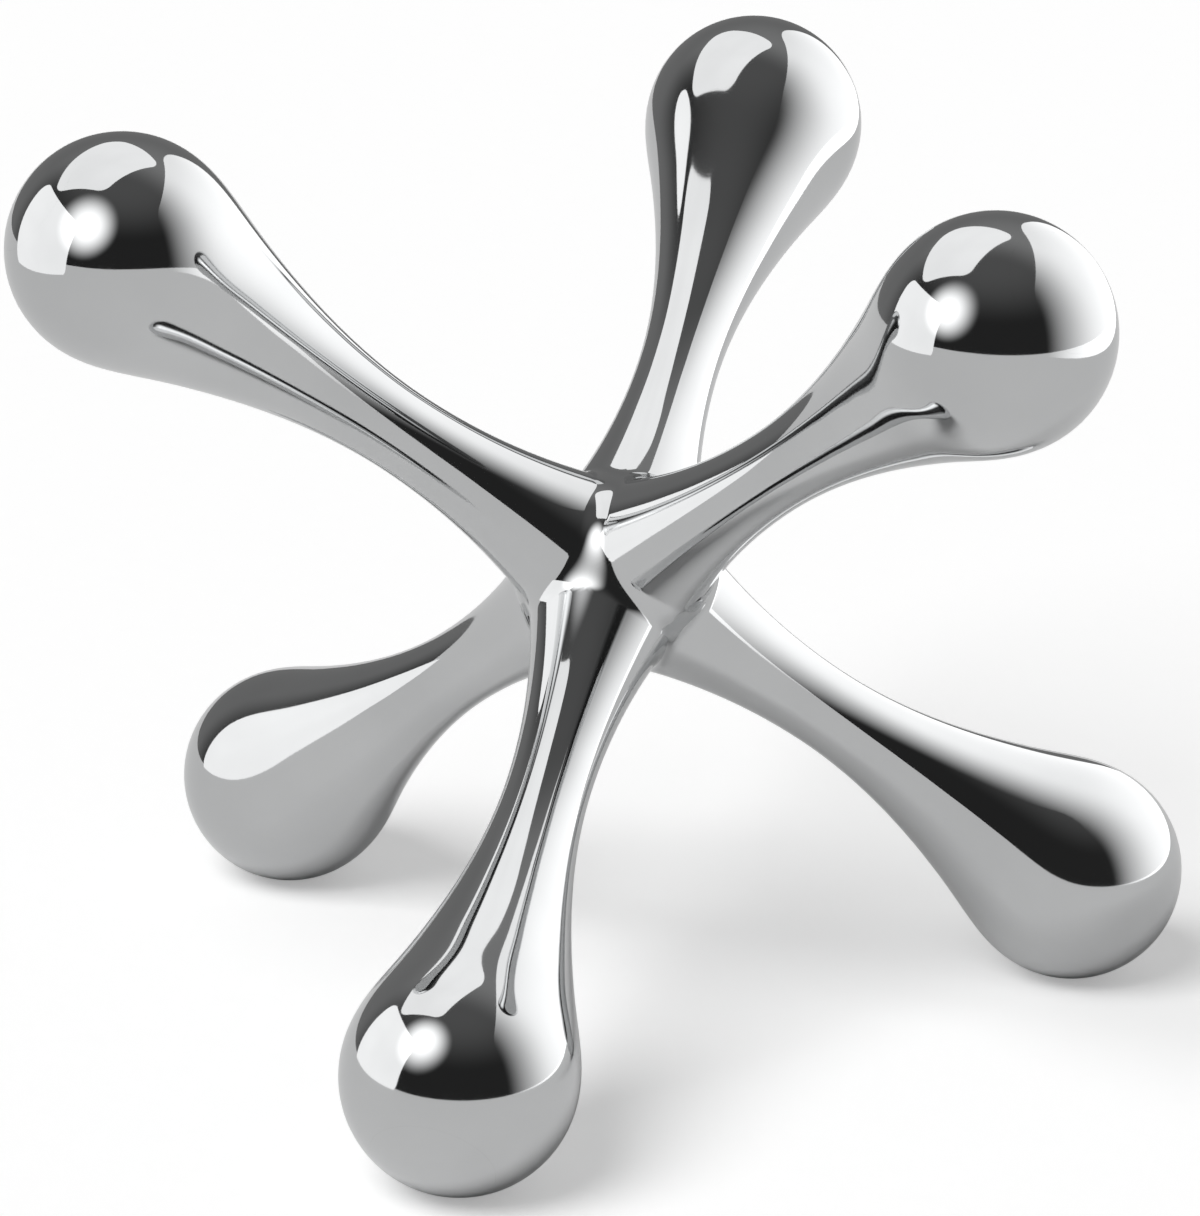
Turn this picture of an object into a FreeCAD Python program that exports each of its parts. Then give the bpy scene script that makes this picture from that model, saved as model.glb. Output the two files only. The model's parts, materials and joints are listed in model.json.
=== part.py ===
"""A magnetic desk sculpture in the form of a six-armed jack.

One polished casting carries six ball-ended arms on three crossed axes. In each ball a rod
magnet sits in a pocket bored in from the pole, and a domed cap is pressed in over the magnet,
flush with the ball. The jack stands on the balls of its three lower arms.

Millimetres, +Z up. The origin is on the desk, below the middle of the hub. The lower front
arm points along -Y.
"""
import FreeCAD, Part
import math
import os

# The casting.
arm_length = 50.0         # middle of the hub to the centre of each ball
ball_radius = 9.4
waist_radius = 3.4        # an arm at its thinnest
waist_station = 22.0      # from the middle of the hub to the thinnest place
core_radius = 7.4         # the round core that the arms flare out of
crotch_radius = 2.2       # rounding of the crease between two arms

# The magnets: standard rods, 8 mm across and 10 mm long.
magnet_radius = 4.0
magnet_length = 10.0
magnet_chamfer = 0.3
pocket_clearance = 0.1    # around a magnet
end_clearance = 0.1       # between a magnet's outer end and its cap

# The caps: pressed into a counterbore over the magnet's pocket.
cap_ledge = 0.9           # width of the ring that a cap seats on
cap_skirt = 0.9           # the cap's straight side, below its dome
cap_fit = 0.01            # radial gap that stands for the press joint
cap_chamfer = 0.25        # lead-in at the bottom of the skirt

overrun = 1.0             # how far a cutter runs out past the surface
same_distance = 1e-4

# Along an arm, counted from the middle of the hub.
pocket_radius = magnet_radius + pocket_clearance
cap_bore_radius = pocket_radius + cap_ledge
dome_edge = arm_length + math.sqrt(ball_radius ** 2 - cap_bore_radius ** 2)
cap_seat = dome_edge - cap_skirt
magnet_top = cap_seat - end_clearance
pocket_floor = magnet_top - magnet_length
pole = arm_length + ball_radius

# The body diagonal of the three crossed axes is upright, so that each arm leans this far from
# level, down for the three arms that it stands on and up for the other three. Round its own
# axis, an arm's neighbours then lie this far from the upright plane that it is in.
arm_lean = math.degrees(math.asin(1 / math.sqrt(3)))
neighbour_turn = 45
hub_height = ball_radius + arm_length / math.sqrt(3)

# Each arm's direction round the upright, in degrees from +X, and its lean.
ARMS = {
    "lower_front": (-90, -arm_lean),
    "lower_right": (30, -arm_lean),
    "lower_left": (150, -arm_lean),
    "upper_back": (90, arm_lean),
    "upper_right": (-30, arm_lean),
    "upper_left": (210, arm_lean),
}

AXIS = FreeCAD.Vector(0, 0, 1)
HUB = FreeCAD.Vector(0, 0, hub_height)


def arm_turn(azimuth, lean):
    """The turn that lays +Z along an arm."""
    tip_over = FreeCAD.Rotation(FreeCAD.Vector(0, 1, 0), 90 - lean)
    swing_round = FreeCAD.Rotation(AXIS, azimuth)
    return swing_round.multiply(tip_over)


def on_arm(shape, arm):
    """A copy, set on the named arm, of a shape made along +Z with the hub at the origin."""
    placed = shape.copy()
    placed.Placement = FreeCAD.Placement(HUB, arm_turn(*ARMS[arm])).multiply(shape.Placement)
    return placed


def cylinder(radius, low, high):
    return Part.makeCylinder(radius, high - low, FreeCAD.Vector(0, 0, low), AXIS)


def on_circle(centre_height, radius, height):
    """The point at a given height on a circle centred on the arm's axis."""
    return FreeCAD.Vector(math.sqrt(radius ** 2 - (height - centre_height) ** 2), 0, height)


def flare(round_centre, round_radius):
    """A concave arc that leaves the waist along the arm and runs tangent into a round end.

    Gives the arc as an edge, and the point where it meets the round end.
    """
    reach = waist_station - round_centre
    swell = round_radius - waist_radius
    radius = (reach ** 2 + waist_radius ** 2 - round_radius ** 2) / (2 * swell)
    centre = FreeCAD.Vector(waist_radius + radius, 0, waist_station)
    meeting_height = round_centre + reach * round_radius / (radius + round_radius)
    meeting = on_circle(round_centre, round_radius, meeting_height)
    waist = FreeCAD.Vector(waist_radius, 0, waist_station)
    halfway = (waist - centre + meeting - centre).normalize() * radius + centre
    return Part.Arc(waist, halfway, meeting).toShape(), meeting


def arm():
    """One arm along +Z: half of the core, the waist between its two flares, and the ball.

    It is made in quarters that part where it faces its four neighbours, so that a seam runs into
    the middle of each crease and none runs into a corner where three creases meet.
    """
    core_flare, core_meeting = flare(0, core_radius)
    ball_flare, ball_meeting = flare(arm_length, ball_radius)
    middle = FreeCAD.Vector(0, 0, 0)
    core_edge = on_circle(0, core_radius, 0)
    core_halfway = on_circle(0, core_radius, core_meeting.z / 2)
    equator = on_circle(arm_length, ball_radius, arm_length)
    tip = FreeCAD.Vector(0, 0, pole)
    outline = [
        Part.makeLine(middle, core_edge),
        Part.Arc(core_edge, core_halfway, core_meeting).toShape(),
        core_flare,
        ball_flare,
        Part.Arc(ball_meeting, equator, tip).toShape(),
        Part.makeLine(tip, middle),
    ]
    face = Part.Face(Part.Wire(Part.sortEdges(outline)[0]))
    quarters = []
    for step in range(4):
        turned = face.copy()
        turned.rotate(middle, AXIS, neighbour_turn + 90 * step)
        quarters.append(turned.revolve(middle, AXIS, 90))
    return quarters[0].multiFuse(quarters[1:])


def is_crease(edge):
    """Whether an edge runs between two arms, so that its middle reaches as far along both."""
    middle = edge.valueAt((edge.FirstParameter + edge.LastParameter) / 2) - HUB
    reaches = sorted(middle.dot(arm_turn(*lie).multVec(AXIS)) for lie in ARMS.values())
    return reaches[-1] - reaches[-2] < same_distance


def pocket():
    """What is bored out of a ball for its magnet and its cap."""
    magnet_bore = cylinder(pocket_radius, pocket_floor, cap_seat + overrun)
    cap_bore = cylinder(cap_bore_radius, cap_seat, pole + overrun)
    return magnet_bore.fuse(cap_bore)


def casting():
    """The six arms in one piece, with the creases between them rounded and the balls bored."""
    one_arm = arm()
    arms = [on_arm(one_arm, name) for name in ARMS]
    blank = arms[0].multiFuse(arms[1:]).Solids[0]
    creases = [edge for edge in blank.Edges if is_crease(edge)]
    rounded = blank.makeFillet(crotch_radius, creases)
    bore = pocket()
    return rounded.cut([on_arm(bore, name) for name in ARMS])


def bottom_edge(shape):
    return min(shape.Edges, key=lambda edge: edge.BoundBox.ZMax)


def magnet():
    """A rod magnet standing on the floor of its pocket."""
    rod = cylinder(magnet_radius, pocket_floor, magnet_top)
    rims = [edge for edge in rod.Edges if edge.isClosed() and edge.BoundBox.ZLength < magnet_chamfer]
    return rod.makeChamfer(magnet_chamfer, rims)


def end_cap():
    """A domed cap: its dome is the pole of the ball, and its skirt fills the counterbore."""
    ball = Part.makeSphere(ball_radius, FreeCAD.Vector(0, 0, arm_length), AXIS)
    plug = ball.common(cylinder(cap_bore_radius - cap_fit, cap_seat, pole + overrun))
    return plug.makeChamfer(cap_chamfer, [bottom_edge(plug)])


def main():
    os.makedirs("parts", exist_ok=True)
    pieces = {"jack_casting": casting()}
    one_magnet = magnet()
    one_cap = end_cap()
    for name in ARMS:
        pieces["magnet_" + name] = on_arm(one_magnet, name)
        pieces["end_cap_" + name] = on_arm(one_cap, name)
    for node, shape in pieces.items():
        shape.exportStep("parts/" + node + ".step")
        box = shape.BoundBox
        print(
            f"{node:24s} {shape.ShapeType} solids {len(shape.Solids)} valid {shape.isValid()} "
            f"volume {shape.Volume:.2f} faces {len(shape.Faces)} "
            f"x {box.XMin:.2f}..{box.XMax:.2f} y {box.YMin:.2f}..{box.YMax:.2f} z {box.ZMin:.2f}..{box.ZMax:.2f}"
        )


main()
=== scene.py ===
"""Looks for the magnetic desk sculpture: a chrome-plated jack on a white table.

The casting and the six end caps are shown as fine smooth meshes, because a mirror finish shows
every facet. The casting's isn't quite its CAD node's shape: its necks are up to 0.38 mm fuller
and its hub up to 0.31 mm. The magnets keep their CAD meshes.
Metres, +Z up, in the row's frame.
"""

import json
import math

import bmesh
import bpy
import numpy as np
from mathutils import Matrix, Vector


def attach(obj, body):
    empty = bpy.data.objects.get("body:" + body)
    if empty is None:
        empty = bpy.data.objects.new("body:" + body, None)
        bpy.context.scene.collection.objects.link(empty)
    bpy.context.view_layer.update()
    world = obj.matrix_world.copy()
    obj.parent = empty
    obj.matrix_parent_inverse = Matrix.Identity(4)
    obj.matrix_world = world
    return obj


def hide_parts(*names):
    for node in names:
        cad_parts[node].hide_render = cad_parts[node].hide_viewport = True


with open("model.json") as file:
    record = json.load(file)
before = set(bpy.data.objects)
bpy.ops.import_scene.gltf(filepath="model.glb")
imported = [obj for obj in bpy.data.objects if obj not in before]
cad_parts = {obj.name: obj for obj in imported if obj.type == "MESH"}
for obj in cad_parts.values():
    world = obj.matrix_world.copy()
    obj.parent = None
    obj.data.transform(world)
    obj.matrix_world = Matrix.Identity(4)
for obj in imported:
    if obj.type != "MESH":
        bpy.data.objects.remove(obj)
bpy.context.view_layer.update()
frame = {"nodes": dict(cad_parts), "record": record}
record = frame["record"]
MM = 0.001

# ---------------------------------------------------------------- sizes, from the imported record

poles = {
    mount["name"].removeprefix("pole_"): mount
    for mount in record["mounts"]
    if mount["name"].startswith("pole_")
}
ARMS = {name: Vector(mount["axis"]).normalized() for name, mount in poles.items()}
TIPS = {name: Vector(mount["pos_m"]) for name, mount in poles.items()}

rise = abs(ARMS["upper_back"].z)
hub_height = (TIPS["upper_back"].z + TIPS["lower_front"].z) / 2
HUB = Vector((0, 0, hub_height))
reach = (TIPS["upper_back"] - HUB).length
arm_length = (reach - hub_height) / (1 - rise)
ball_radius = reach - arm_length

# The rest of the shape, as in the CAD model.
waist_radius = 3.4 * MM         # an arm at its thinnest
waist_station = 22.0 * MM       # from the middle of the hub to the thinnest place
core_radius = 7.4 * MM          # the round core that the arms flare out of
crotch_blend = 0.97 * MM        # blends the creases to within 0.31 mm of the CAD model
ease = 6.0 * MM                 # half the length over which a flare's bend turns into the ball's
pocket_radius = 4.1 * MM
pocket_depth = 10.1 * MM
cap_bore_radius = 5.0 * MM
cap_skirt = 0.9 * MM
cap_chamfer = 0.25 * MM
seam = 0.002 * MM               # left round a cap once it is polished over; the CAD model has more

# ---------------------------------------------------------------- the surface of the jack

# An arm is described by a station along its axis and a radius about it. Its outline is the
# core's circle, a concave flare to the waist, a second flare, and the ball's circle.


def flare_radius(round_centre, round_radius):
    """Radius of the concave arc from the waist that runs tangent into a round end."""
    run = waist_station - round_centre
    return (run ** 2 + waist_radius ** 2 - round_radius ** 2) / (2 * (round_radius - waist_radius))


core_flare = flare_radius(0, core_radius)
ball_flare = flare_radius(arm_length, ball_radius)
ball_meeting = arm_length + (waist_station - arm_length) * ball_radius / (ball_flare + ball_radius)
cap_edge = arm_length + math.sqrt(ball_radius ** 2 - cap_bore_radius ** 2)
cap_seat = cap_edge - cap_skirt
pocket_floor = cap_seat - pocket_depth


def outline_radius(station):
    """The arm's radius at each station, from the core's meeting circle to the waist."""
    return waist_radius + core_flare - np.sqrt(core_flare ** 2 - (station - waist_station) ** 2)


def eased_outline(steps=4000, samples=61):
    """Lengths, stations, radii and slopes along an arm, from the waist to the cap's edge.

    Lengths are counted along the outline from where the flare meets the ball.

    The flare runs tangent into the ball, but its bend jumps there, and a mirror finish shows
    that as a kink. So the slope is averaged over a short length, as polishing does, which fills
    the neck by up to 0.38 mm beside the ball.
    """
    meeting_slope = math.asin((ball_meeting - waist_station) / ball_flare)
    flare_length = ball_flare * meeting_slope
    edge_slope = -math.asin((cap_edge - arm_length) / ball_radius)
    ball_length = ball_radius * (meeting_slope - edge_slope)
    length = np.linspace(-flare_length, ball_length, steps)
    slope = np.zeros(steps)
    offsets = np.linspace(-1, 1, samples) * ease
    weights = 1 - np.abs(offsets) / ease
    for offset, weight in zip(offsets, weights / weights.sum()):
        shifted = length + offset
        bend = np.where(shifted < 0, 1 / ball_flare, -1 / ball_radius)
        slope += weight * (meeting_slope + shifted * bend)
    stations = np.concatenate([[0], np.cumsum((np.cos(slope[1:]) + np.cos(slope[:-1])) / 2)])
    radii = np.concatenate([[0], np.cumsum((np.sin(slope[1:]) + np.sin(slope[:-1])) / 2)])
    stride = length[1] - length[0]
    stations = cap_edge + (stations - stations[-1]) * stride
    radii = cap_bore_radius + (radii - radii[-1]) * stride
    share = np.clip((-ease - length) / (flare_length - ease), 0, 1)
    share = share ** 2 * (3 - 2 * share)
    stations += share * (waist_station - stations[0])
    radii += share * (waist_radius - radii[0])
    return length, stations, radii, np.arctan2(np.gradient(radii), np.gradient(stations))


def arm_distance(station, radius):
    """Distance from one arm's surface on the hub's side of its waist, negative inside it."""
    core = np.hypot(station, radius) - core_radius
    to_flare = core_flare - np.hypot(station - waist_station, radius - waist_radius - core_flare)
    # The line from the flare's centre to the hub's divides the flare from the round core.
    past_core = station * (waist_radius + core_flare) > radius * waist_station
    return np.where(past_core, to_flare, core)


def jack_distance(points):
    """Distance from the jack's surface, blended in the crotches.

    The points are given along the jack's own three axes, from the middle of the hub.
    """
    folded = np.abs(points)
    squares = (folded ** 2).sum(axis=1)
    each = []
    for axis in range(3):
        station = folded[:, axis]
        radius = np.sqrt(np.maximum(squares - station ** 2, 0))
        each.append(arm_distance(station, radius))
    each = np.stack(each)
    near = np.maximum(crotch_blend - each, 0)
    return np.maximum(crotch_blend, each.min(axis=0)) - np.sqrt((near ** 2).sum(axis=0))


def gradient(points, step=1e-6):
    """The direction straight out of the jack's surface at each point."""
    slopes = []
    for axis in range(3):
        shift = np.zeros(3)
        shift[axis] = step
        slopes.append(jack_distance(points + shift) - jack_distance(points - shift))
    slopes = np.stack(slopes, axis=1)
    return slopes / np.linalg.norm(slopes, axis=1, keepdims=True)


def settle(points, rounds=8):
    """Moves points straight onto the jack's surface."""
    for _ in range(rounds):
        points = points - gradient(points) * jack_distance(points)[:, None]
    return points


# ---------------------------------------------------------------- meshes

COLUMNS = 128                   # round each arm; a multiple of 8, so that columns meet at corners
ROWS_CORE = 40                  # crotch to waist
ROWS_NECK = 32                  # waist to ball
ROWS_BALL = 48                  # ball to the cap's edge
ROWS_DOME = 20                  # the cap's edge to its pole
CROWDING = 1.6                  # how much closer together rows lie towards the crotch
WELD = 1e-6                     # vertices of two arms nearer than this are one
angles = np.arange(COLUMNS) * 2 * math.pi / COLUMNS
LENGTH, STATIONS, RADII, SLOPES = eased_outline()


def crease_station(turn):
    """Where an arm meets its nearest neighbour, in a direction that far round from it."""
    low, high = 0.0, waist_station
    for _ in range(50):
        middle = (low + high) / 2
        if outline_radius(np.float64(middle)) * math.cos(turn) > middle:
            low = middle
        else:
            high = middle
    return low


def ring(station, radius):
    """One ring of points round the arm's axis, which is local Z."""
    along = np.broadcast_to(station, angles.shape)
    return np.stack([radius * np.cos(angles), radius * np.sin(angles), along], axis=1)


def outer_rings():
    """The visible rings of one arm, from the crotch to the edge of the cap."""
    quarter = math.pi / 2
    turns = np.abs((angles + quarter / 2) % quarter - quarter / 2)
    creases = np.array([crease_station(turn) for turn in turns])
    rings = []
    for step in range(ROWS_CORE):
        share = (step / ROWS_CORE) ** CROWDING
        station = creases + (waist_station - creases) * share
        rings.append(settle(ring(station, outline_radius(station))))
    neck = np.linspace(LENGTH[0], 0, ROWS_NECK, endpoint=False)
    ball = np.linspace(0, LENGTH[-1], ROWS_BALL + 1)
    for place in (*neck, *ball):
        rings.append(ring(np.interp(place, LENGTH, STATIONS), np.interp(place, LENGTH, RADII)))
    return rings


def dome_rings():
    """The rings of a cap's dome, from just inside its bore to just short of its pole."""
    end = math.asin((cap_bore_radius - seam) / ball_radius)
    rings = []
    for step in range(ROWS_DOME):
        lean = end * (1 - step / ROWS_DOME)
        rings.append(ring(arm_length + ball_radius * math.cos(lean), ball_radius * math.sin(lean)))
    return rings


def add_band(bm, lower, upper):
    """Faces between two rings of vertices, facing away from the axis when upper is further along."""
    return [
        bm.faces.new((lower[j], lower[(j + 1) % COLUMNS], upper[(j + 1) % COLUMNS], upper[j]))
        for j in range(COLUMNS)
    ]


def add_fan(bm, last, tip):
    """Faces from a ring to one point further along the way that the rings run."""
    return [bm.faces.new((last[j], last[(j + 1) % COLUMNS], tip)) for j in range(COLUMNS)]


def add_rings(bm, rings, turn, polished):
    """Joins rings into bands, laid on an arm by a turn. Returns the last ring's vertices."""
    layer = bm.faces.layers.int["polished"]
    previous = None
    for points in rings:
        current = [bm.verts.new(turn @ Vector(point)) for point in points]
        if previous:
            for face in add_band(bm, previous, current):
                face[layer] = polished
        previous = current
    return previous


def object_from(bm, name):
    """Turns a bmesh into an object in the scene."""
    mesh = bpy.data.meshes.new(name)
    bm.to_mesh(mesh)
    bm.free()
    piece = bpy.data.objects.new(name, mesh)
    bpy.context.scene.collection.objects.link(piece)
    return piece


def finish_mesh(bm, name, normal_at):
    """Turns a bmesh into an object. Polished faces take exact normals, and the others stay flat."""
    layer = bm.faces.layers.int["polished"]
    bm.normal_update()
    normals = []
    points = np.array([vertex.co[:] for vertex in bm.verts], float)
    exact = normal_at(points)
    bm.verts.index_update()
    for face in bm.faces:
        face.smooth = True
        for vertex in face.verts:
            normals.append(tuple(exact[vertex.index]) if face[layer] else tuple(face.normal))
    piece = object_from(bm, name)
    piece.data.normals_split_custom_set(normals)
    return piece


def start_mesh():
    bm = bmesh.new()
    bm.faces.layers.int.new("polished")
    return bm


def arm_turn(axis, neighbour):
    """The turn that lays local Z along an arm and local X along one of its neighbours."""
    across = axis.cross(neighbour).normalized()
    along = across.cross(axis).normalized()
    return Matrix((along, across, axis)).transposed()


def first_neighbour(axis):
    """The first arm that stands square to the given one."""
    return next(other for other in ARMS.values() if abs(other.dot(axis)) < 0.5)


TURNS = {name: arm_turn(axis, first_neighbour(axis)) for name, axis in ARMS.items()}
OWN_AXES = np.array(TURNS["upper_back"])


def surface_normals(points):
    """Exact normals of the jack, for points about the hub in the row's directions."""
    own = points @ OWN_AXES
    rows = np.arange(len(own))
    axis = np.abs(own).argmax(axis=1)
    station = np.abs(own[rows, axis])
    along = np.zeros_like(own)
    along[rows, axis] = np.sign(own[rows, axis])
    spoke = own - along * station[:, None]
    spoke /= np.maximum(np.linalg.norm(spoke, axis=1, keepdims=True), 1e-9)
    slope = np.interp(station, STATIONS, SLOPES)[:, None]
    normals = spoke * np.cos(slope) - along * np.sin(slope)
    hub_side = station < waist_station
    normals[hub_side] = gradient(own[hub_side])
    return normals @ OWN_AXES.T


def build_casting():
    """The hub, the arms and the balls in one mesh, with a pocket in each ball."""
    bm = start_mesh()
    layer = bm.faces.layers.int["polished"]
    rings = outer_rings()
    inside = [
        ring(cap_seat, cap_bore_radius),
        ring(cap_seat, pocket_radius),
        ring(pocket_floor, pocket_radius),
    ]
    for turn in TURNS.values():
        rim = add_rings(bm, rings, turn, 1)
        for points in inside:
            current = [bm.verts.new(turn @ Vector(point)) for point in points]
            for face in add_band(bm, rim, current):
                face[layer] = 0
            rim = current
        centre = bm.verts.new(turn @ Vector((0, 0, pocket_floor)))
        for face in add_fan(bm, rim, centre):
            face[layer] = 0
    bmesh.ops.remove_doubles(bm, verts=bm.verts, dist=WELD)
    piece = finish_mesh(bm, "polished_casting", surface_normals)
    piece.location = HUB
    return piece


def build_cap(name):
    """One arm's end cap: a polished dome over a plain chamfered skirt."""
    bm = start_mesh()
    turn = TURNS[name]
    layer = bm.faces.layers.int["polished"]
    radius = cap_bore_radius - seam
    last = add_rings(bm, dome_rings(), turn, 1)
    below = list(bm.verts)[:COLUMNS]
    tip = bm.verts.new(turn @ Vector((0, 0, arm_length + ball_radius)))
    for face in add_fan(bm, last, tip):
        face[layer] = 1
    for points in (ring(cap_seat + cap_chamfer, radius), ring(cap_seat, radius - cap_chamfer)):
        current = [bm.verts.new(turn @ Vector(point)) for point in points]
        add_band(bm, current, below)
        below = current
    centre = bm.verts.new(turn @ Vector((0, 0, cap_seat)))
    add_fan(bm, below[::-1], centre)
    middle = turn @ Vector((0, 0, arm_length))

    def dome_normals(points):
        spokes = points - np.array(middle)
        return spokes / np.linalg.norm(spokes, axis=1, keepdims=True)

    piece = finish_mesh(bm, "polished_cap_" + name, dome_normals)
    piece.location = HUB
    return piece


# ---------------------------------------------------------------- materials


class Nodes:
    """Short names for building a node tree."""

    def __init__(self, tree):
        self.tree = tree
        tree.nodes.clear()

    def new(self, kind, **values):
        node = self.tree.nodes.new(kind)
        for key, value in values.items():
            setattr(node, key, value)
        return node

    def link(self, source, target):
        self.tree.links.new(source, target)


def noise(nodes, vector, scale, detail, roughness=0.5):
    node = nodes.new("ShaderNodeTexNoise")
    node.inputs["Scale"].default_value = scale
    node.inputs["Detail"].default_value = detail
    node.inputs["Roughness"].default_value = roughness
    nodes.link(vector, node.inputs["Vector"])
    return node.outputs["Fac"]


def remap(nodes, value, low, high, new_low, new_high, smooth=False):
    node = nodes.new("ShaderNodeMapRange")
    if smooth:
        node.interpolation_type = "SMOOTHSTEP"
    ends = {"From Min": low, "From Max": high, "To Min": new_low, "To Max": new_high}
    for socket, number in ends.items():
        node.inputs[socket].default_value = number
    nodes.link(value, node.inputs["Value"])
    return node.outputs["Result"]


def combine(nodes, operation, first, second):
    """One sum or product; the second value may be a plain number."""
    node = nodes.new("ShaderNodeMath", operation=operation)
    nodes.link(first, node.inputs[0])
    if isinstance(second, (int, float)):
        node.inputs[1].default_value = second
    else:
        nodes.link(second, node.inputs[1])
    return node.outputs[0]


def mix_colour(nodes, factor, dark, light):
    node = nodes.new("ShaderNodeMix", data_type="RGBA")
    node.inputs[6].default_value = (*dark, 1)
    node.inputs[7].default_value = (*light, 1)
    nodes.link(factor, node.inputs[0])
    return node.outputs[2]


def bump(nodes, height, strength, distance, below=None):
    node = nodes.new("ShaderNodeBump")
    node.inputs["Strength"].default_value = strength
    node.inputs["Distance"].default_value = distance
    nodes.link(height, node.inputs["Height"])
    if below:
        nodes.link(below, node.inputs["Normal"])
    return node.outputs["Normal"]


def chrome_material():
    """Bright chrome over a hand-polished casting: slow waves, faint polishing haze, fine scratches."""
    material = bpy.data.materials.new("polished_chrome")
    material.use_nodes = True
    nodes = Nodes(material.node_tree)
    output = nodes.new("ShaderNodeOutputMaterial")
    shader = nodes.new("ShaderNodeBsdfPrincipled")
    shader.inputs["Metallic"].default_value = 1.0
    place = nodes.new("ShaderNodeTexCoord").outputs["Object"]
    haze = noise(nodes, place, scale=70, detail=4)
    cloud = remap(nodes, haze, 0.35, 0.7, 0, 1)
    colour = mix_colour(nodes, cloud, (0.62, 0.627, 0.632), (0.665, 0.672, 0.676))
    nodes.link(colour, shader.inputs["Base Color"])
    stretched = nodes.new("ShaderNodeMapping")
    stretched.inputs["Scale"].default_value = (1, 6, 1)
    stretched.inputs["Rotation"].default_value = (0.6, 0.3, 0.9)
    nodes.link(place, stretched.inputs["Vector"])
    scratch = noise(nodes, stretched.outputs["Vector"], scale=900, detail=3, roughness=0.7)
    smooth = remap(nodes, haze, 0.35, 0.75, 0.03, 0.075)
    scratched = remap(nodes, scratch, 0.55, 0.8, 0, 0.03)
    nodes.link(combine(nodes, "ADD", smooth, scratched), shader.inputs["Roughness"])
    waves = bump(nodes, noise(nodes, place, scale=130, detail=1), strength=1.0, distance=0.035 * MM)
    fine = bump(nodes, scratch, strength=0.15, distance=0.001 * MM, below=waves)
    nodes.link(fine, shader.inputs["Normal"])
    nodes.link(shader.outputs[0], output.inputs[0])
    return material


def nickel_material():
    """Nickel plating on a magnet: warmer and duller than chrome, with a tumbled grain."""
    material = bpy.data.materials.new("nickel_plating")
    material.use_nodes = True
    nodes = Nodes(material.node_tree)
    output = nodes.new("ShaderNodeOutputMaterial")
    shader = nodes.new("ShaderNodeBsdfPrincipled")
    shader.inputs["Metallic"].default_value = 1.0
    place = nodes.new("ShaderNodeTexCoord").outputs["Object"]
    grain = noise(nodes, place, scale=1500, detail=5, roughness=0.6)
    colour = mix_colour(nodes, grain, (0.58, 0.55, 0.50), (0.72, 0.69, 0.63))
    nodes.link(colour, shader.inputs["Base Color"])
    nodes.link(remap(nodes, grain, 0.3, 0.7, 0.22, 0.38), shader.inputs["Roughness"])
    nodes.link(bump(nodes, grain, strength=0.3, distance=0.02 * MM), shader.inputs["Normal"])
    nodes.link(shader.outputs[0], output.inputs[0])
    return material


def seen_from(nodes, kinds):
    """The sum of Light Path outputs, each times its weight."""
    path = nodes.new("ShaderNodeLightPath")
    total = None
    for kind, weight in kinds.items():
        scaled = combine(nodes, "MULTIPLY", path.outputs[kind], weight)
        total = combine(nodes, "ADD", total, scaled) if total else scaled
    return total


def table_material():
    """A white table: plain diffuse white, lifted to paper white where the camera sees it."""
    material = bpy.data.materials.new("white_table")
    material.use_nodes = True
    nodes = Nodes(material.node_tree)
    output = nodes.new("ShaderNodeOutputMaterial")
    shader = nodes.new("ShaderNodeBsdfPrincipled")
    place = nodes.new("ShaderNodeTexCoord").outputs["Object"]
    grain = noise(nodes, place, scale=400, detail=4)
    colour = mix_colour(nodes, grain, (0.79, 0.79, 0.79), (0.81, 0.81, 0.81))
    nodes.link(colour, shader.inputs["Base Color"])
    nodes.link(remap(nodes, grain, 0.3, 0.7, 0.6, 0.75), shader.inputs["Roughness"])
    shader.inputs["Specular IOR Level"].default_value = 0.0
    glow = nodes.new("ShaderNodeEmission")
    nodes.link(seen_from(nodes, {"Is Camera Ray": table_lift}), glow.inputs["Strength"])
    both = nodes.new("ShaderNodeAddShader")
    nodes.link(shader.outputs[0], both.inputs[0])
    nodes.link(glow.outputs[0], both.inputs[1])
    nodes.link(both.outputs[0], output.inputs[0])
    return material


def glow_material(name, strength_from, see_through=False):
    """Light alone, for the studio's cards. A see-through card adds its light to what is behind."""
    material = bpy.data.materials.new(name)
    material.use_nodes = True
    nodes = Nodes(material.node_tree)
    output = nodes.new("ShaderNodeOutputMaterial")
    glow = nodes.new("ShaderNodeEmission")
    nodes.link(strength_from(nodes), glow.inputs["Strength"])
    surface = glow.outputs[0]
    if see_through:
        both = nodes.new("ShaderNodeAddShader")
        nodes.link(surface, both.inputs[0])
        nodes.link(nodes.new("ShaderNodeBsdfTransparent").outputs[0], both.inputs[1])
        surface = both.outputs[0]
    nodes.link(surface, output.inputs[0])
    return material


def split_place(nodes, kind):
    """A texture coordinate's three numbers."""
    split = nodes.new("ShaderNodeSeparateXYZ")
    nodes.link(nodes.new("ShaderNodeTexCoord").outputs[kind], split.inputs[0])
    return split.outputs


def softbox_light(tone):
    """A lit fabric front, a little uneven."""
    def strength(nodes):
        place = nodes.new("ShaderNodeTexCoord").outputs["Generated"]
        uneven = noise(nodes, place, scale=1.5, detail=2)
        return remap(nodes, uneven, 0.2, 0.8, tone * 0.95, tone * 1.05)
    return strength


def reflector_light(top_tone, foot_tone, fade):
    """A tall reflector, brightest at its foot, that fades out over a share of its front side."""
    def strength(nodes):
        x, y, _ = split_place(nodes, "Generated")
        fallen = remap(nodes, y, 0.5, 0.95, foot_tone, top_tone, smooth=True)
        return combine(nodes, "MULTIPLY", fallen, remap(nodes, x, 0.0, fade, 0, 1, smooth=True))
    return strength


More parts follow.
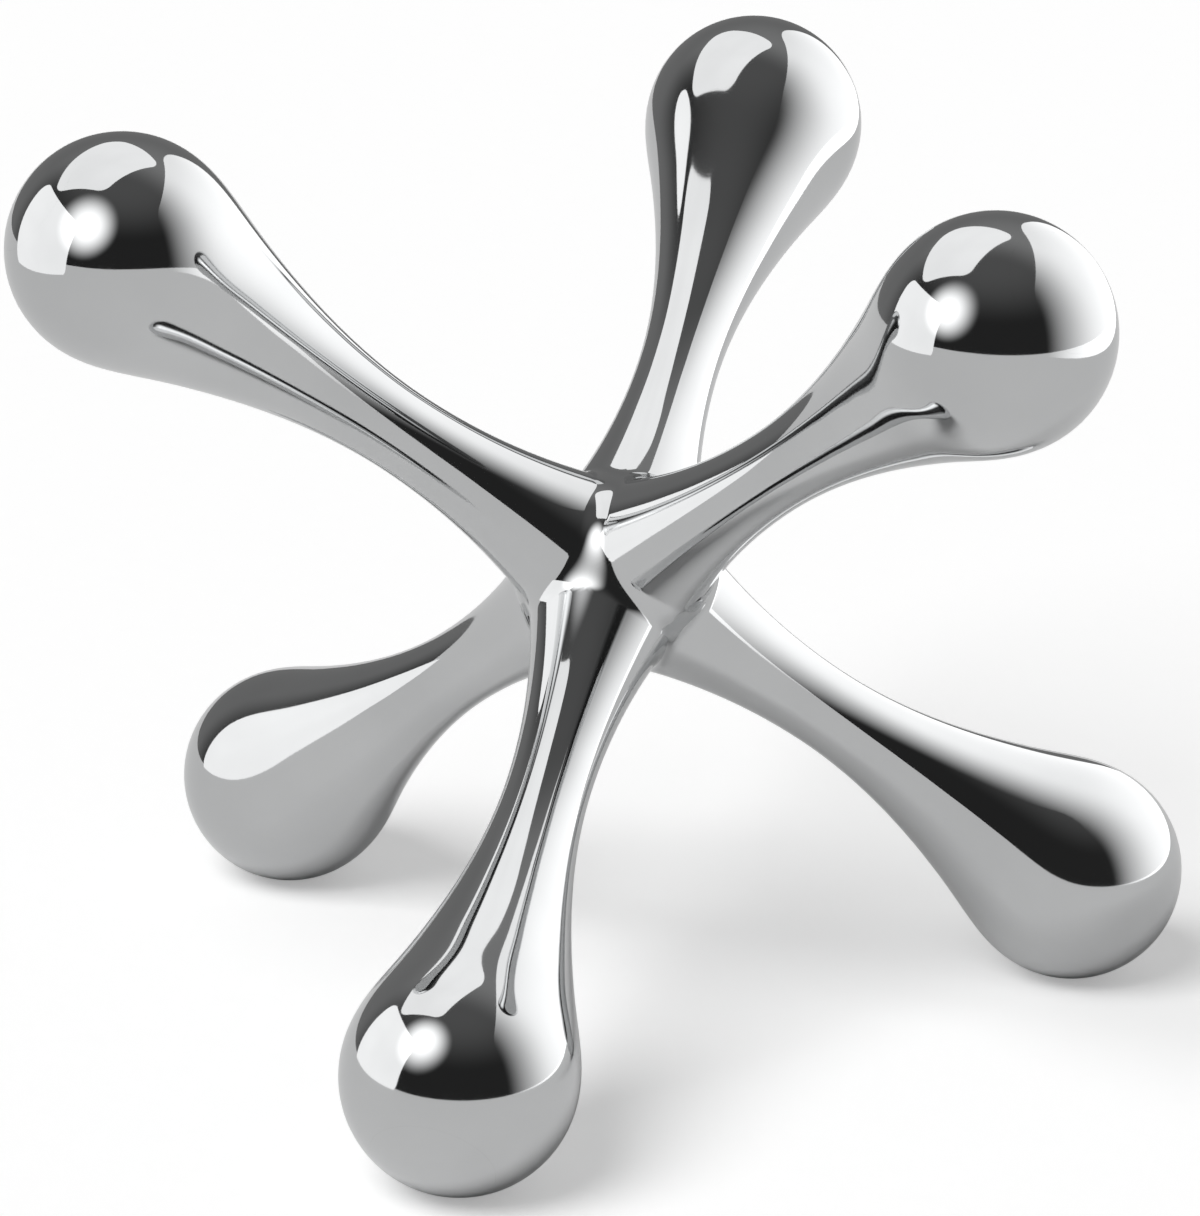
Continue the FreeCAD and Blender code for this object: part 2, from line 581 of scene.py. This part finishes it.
def lamp_light(tone):
    """A lamp that is brightest in the middle and falls off to nothing at its rim."""
    def strength(nodes):
        x, y, _ = split_place(nodes, "Generated")
        across = combine(nodes, "SUBTRACT", x, 0.5)
        up = combine(nodes, "SUBTRACT", y, 0.5)
        across_squared = combine(nodes, "POWER", across, 2)
        up_squared = combine(nodes, "POWER", up, 2)
        squares = combine(nodes, "ADD", across_squared, up_squared)
        from_middle = combine(nodes, "POWER", squares, 0.5)
        return remap(nodes, from_middle, 0.04, 0.5, tone, 0, smooth=True)
    return strength


def wall_light(front_tone, back_tone, top_tone):
    """A dim room: darkest low at the front, and lighter behind the object and overhead."""
    def strength(nodes):
        _, y, z = split_place(nodes, "Generated")
        behind = remap(nodes, y, 0.45, 0.75, front_tone, back_tone, smooth=True)
        return combine(nodes, "ADD", behind, remap(nodes, z, 0.45, 1.0, 0, top_tone, smooth=True))
    return strength


def wear(piece, material):
    piece.data.materials.clear()
    piece.data.materials.append(material)


# ---------------------------------------------------------------- studio

table_lift = 0.33               # added to the table's own light where the camera sees it
table_size = 3.0                # half its side
even_light = 0.24               # the world's, all round
key_light = 2.4                 # the key lamp's
key_softness = 38               # the angle across the key lamp, in degrees
key_direction = (-28, 50)       # azimuth and elevation
wall_radius = 18 * arm_length   # far enough that it doesn't cut into the cards
wall_foot = -0.15 * wall_radius  # below the table, so that no gap is left above it
card_corner = 0.18              # rounding, as a share of a card's shorter side
CORNER_STEPS = 8


def direction(azimuth, elevation):
    """From the object: azimuth 0 is -Y, towards the front, and 90 is +X."""
    a, e = math.radians(azimuth), math.radians(elevation)
    return Vector((math.sin(a) * math.cos(e), -math.cos(a) * math.cos(e), math.sin(e)))


def for_reflections_only(piece):
    """A card that polished metal shows, and that no camera, shadow or diffuse light meets."""
    piece.visible_camera = False
    piece.visible_diffuse = False
    piece.visible_shadow = False
    piece.visible_transmission = False
    piece.visible_volume_scatter = False


def panel(name, azimuth, elevation, distance, width, height, material):
    """A flat rounded panel that faces the hub."""
    bm = bmesh.new()
    corner = card_corner * min(width, height)
    outline = []
    for side_x, side_y, begin in ((1, 1, 0), (-1, 1, 90), (-1, -1, 180), (1, -1, 270)):
        for step in range(CORNER_STEPS + 1):
            angle = math.radians(begin + step * 90 / CORNER_STEPS)
            x = side_x * (width / 2 - corner) + corner * math.cos(angle)
            y = side_y * (height / 2 - corner) + corner * math.sin(angle)
            outline.append(bm.verts.new((x, y, 0)))
    bm.faces.new(outline)
    piece = object_from(bm, name)
    out = direction(azimuth, elevation)
    piece.rotation_mode = "QUATERNION"
    piece.rotation_quaternion = out.to_track_quat("Z", "Y")
    piece.location = HUB + out * distance
    wear(piece, material)
    for_reflections_only(piece)


def build_wall():
    """A round wall and ceiling about the object, down to the table."""
    bm = bmesh.new()
    bmesh.ops.create_uvsphere(bm, u_segments=64, v_segments=32, radius=wall_radius)
    below = [vertex for vertex in bm.verts if vertex.co.z < wall_foot]
    bmesh.ops.delete(bm, geom=below, context="VERTS")
    piece = object_from(bm, "wall")
    piece.location = HUB
    wear(piece, glow_material("wall", wall_light(front_tone=0.022, back_tone=0.18, top_tone=0.08)))
    for_reflections_only(piece)


def build_cards():
    """What the polished metal shows: two softboxes, a tall reflector and a small lamp."""
    overhead = glow_material("overhead", softbox_light(tone=1.22))
    panel("overhead", azimuth=-115, elevation=65, distance=0.325, width=0.34, height=0.27,
          material=overhead)
    left_box = glow_material("left_box", softbox_light(tone=1.3))
    panel("left_box", azimuth=-67, elevation=14, distance=0.27, width=0.31, height=0.24,
          material=left_box)
    reflector_tones = reflector_light(top_tone=0.95, foot_tone=1.4, fade=0.62)
    reflector = glow_material("reflector", reflector_tones, see_through=True)
    panel("reflector", azimuth=119, elevation=0, distance=0.30, width=1.02, height=1.16,
          material=reflector)
    lamp = glow_material("lamp", lamp_light(tone=2.0), see_through=True)
    panel("lamp", azimuth=-27, elevation=34, distance=0.226, width=0.23, height=0.23,
          material=lamp)


def build_table():
    """A flat table, level with the lowest point of the jack."""
    bm = bmesh.new()
    corners = []
    for x, y in ((-1, -1), (1, -1), (1, 1), (-1, 1)):
        corners.append(bm.verts.new((x * table_size, y * table_size, 0)))
    bm.faces.new(corners)
    table = object_from(bm, "table")
    wear(table, table_material())


def build_world():
    """White where it is seen, and a plain even light for the rest.

    Polished metal mostly meets the wall first, which stands in front of it.
    """
    world = bpy.data.worlds.new("studio")
    bpy.context.scene.world = world
    world.use_nodes = True
    nodes = Nodes(world.node_tree)
    output = nodes.new("ShaderNodeOutputWorld")
    seen = nodes.new("ShaderNodeBackground")
    light = nodes.new("ShaderNodeBackground")
    seen.inputs["Strength"].default_value = 1.0
    seen.inputs["Color"].default_value = (1, 1, 1, 1)
    light.inputs["Strength"].default_value = even_light
    light.inputs["Color"].default_value = (1, 1, 1, 1)
    mix = nodes.new("ShaderNodeMixShader")
    seen_by = {"Is Camera Ray": 1, "Is Glossy Ray": 1, "Is Transmission Ray": 1}
    nodes.link(seen_from(nodes, seen_by), mix.inputs[0])
    nodes.link(light.outputs[0], mix.inputs[1])
    nodes.link(seen.outputs[0], mix.inputs[2])
    nodes.link(mix.outputs[0], output.inputs[0])


def build_key():
    """One soft key light from the left of the camera, for the table's shadow."""
    data = bpy.data.lights.new("key", "SUN")
    data.energy = key_light
    data.angle = math.radians(key_softness)
    lamp = bpy.data.objects.new("key", data)
    bpy.context.scene.collection.objects.link(lamp)
    lamp.rotation_mode = "QUATERNION"
    lamp.rotation_quaternion = direction(*key_direction).to_track_quat("Z", "Y")
    lamp.visible_glossy = False


def build_camera():
    """Just right of the front and a little above, with a long lens and a slight roll."""
    azimuth, elevation, roll = 16.0, 17.9, 1.3
    distance = 9.5 * arm_length
    aside, above = 0.0253 * arm_length, 0.0606 * arm_length
    data = bpy.data.cameras.new("camera")
    data.sensor_width = 36
    data.lens = 170.7
    data.clip_start = 0.01
    camera = bpy.data.objects.new("camera", data)
    bpy.context.scene.collection.objects.link(camera)
    toward = direction(azimuth, elevation)
    upright = toward.to_track_quat("Z", "Y")
    camera.rotation_mode = "QUATERNION"
    rolled = Matrix.Rotation(math.radians(roll), 4, "Z").to_quaternion()
    camera.rotation_quaternion = upright @ rolled
    right = camera.rotation_quaternion @ Vector((1, 0, 0))
    up = camera.rotation_quaternion @ Vector((0, 1, 0))
    camera.location = HUB + toward * distance - right * aside - up * above
    bpy.context.scene.camera = camera


# ---------------------------------------------------------------- put together

chrome = chrome_material()
nickel = nickel_material()

casting = build_casting()
wear(casting, chrome)
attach(casting, "root")
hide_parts("jack_casting")

for arm in ARMS:
    cap = build_cap(arm)
    wear(cap, chrome)
    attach(cap, "root")
    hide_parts("end_cap_" + arm)
    wear(frame["nodes"]["magnet_" + arm], nickel)

build_table()
build_world()
build_key()
build_camera()
build_wall()
build_cards()

bpy.context.scene.view_settings.view_transform = "Standard"
